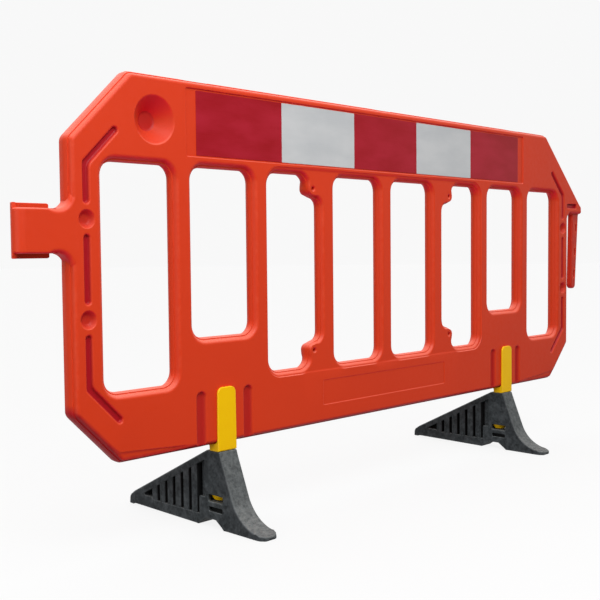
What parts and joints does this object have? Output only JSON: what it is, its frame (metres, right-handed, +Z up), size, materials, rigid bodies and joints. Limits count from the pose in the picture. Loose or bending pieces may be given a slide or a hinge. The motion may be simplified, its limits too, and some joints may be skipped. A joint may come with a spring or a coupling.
{
  "type": "pedestrian barrier panel",
  "caption": "Free-standing barred plastic barrier panel with a reflective strip, linking tongue and finger, and swivelling rubber anti-trip feet on saddle clips.",
  "frame": {"origin": "on the floor, under the middle of the whole object's box", "axes": "+X along the panel from the tongue end to the finger end, +Y from the front face with the reflective strip to the back, +Z up"},
  "size_m": [2.17, 0.49, 1.0072],
  "materials": {
    "panel_plastic": "satin blow-moulded polyethylene, orange-red",
    "red_sheet": "red retroreflective sheeting",
    "white_sheet": "white retroreflective sheeting",
    "clip_plastic": "yellow injection-moulded polypropylene",
    "foot_rubber": "moulded recycled rubber crumb"
  },
  "bodies": {
    "panel": {"panel": "panel_plastic", "reflective_red_left": "red_sheet", "reflective_white_left": "white_sheet", "reflective_red_centre": "red_sheet", "reflective_white_right": "white_sheet", "reflective_red_right": "red_sheet", "clip_left": "clip_plastic", "clip_right": "clip_plastic"},
    "foot_left": {"foot_left": "foot_rubber"},
    "foot_right": {"foot_right": "foot_rubber"}
  },
  "joints": [
    {"name": "foot_left_swivel", "type": "hinge", "parent": "panel", "child": "foot_left", "pos_m": [-0.576, -0.077, 0.12], "axis": [0, 0, 1], "range_deg": [-90, 90]},
    {"name": "foot_right_swivel", "type": "hinge", "parent": "panel", "child": "foot_right", "pos_m": [0.594, -0.077, 0.12], "axis": [0, 0, 1], "range_deg": [-90, 90]}
  ]
}
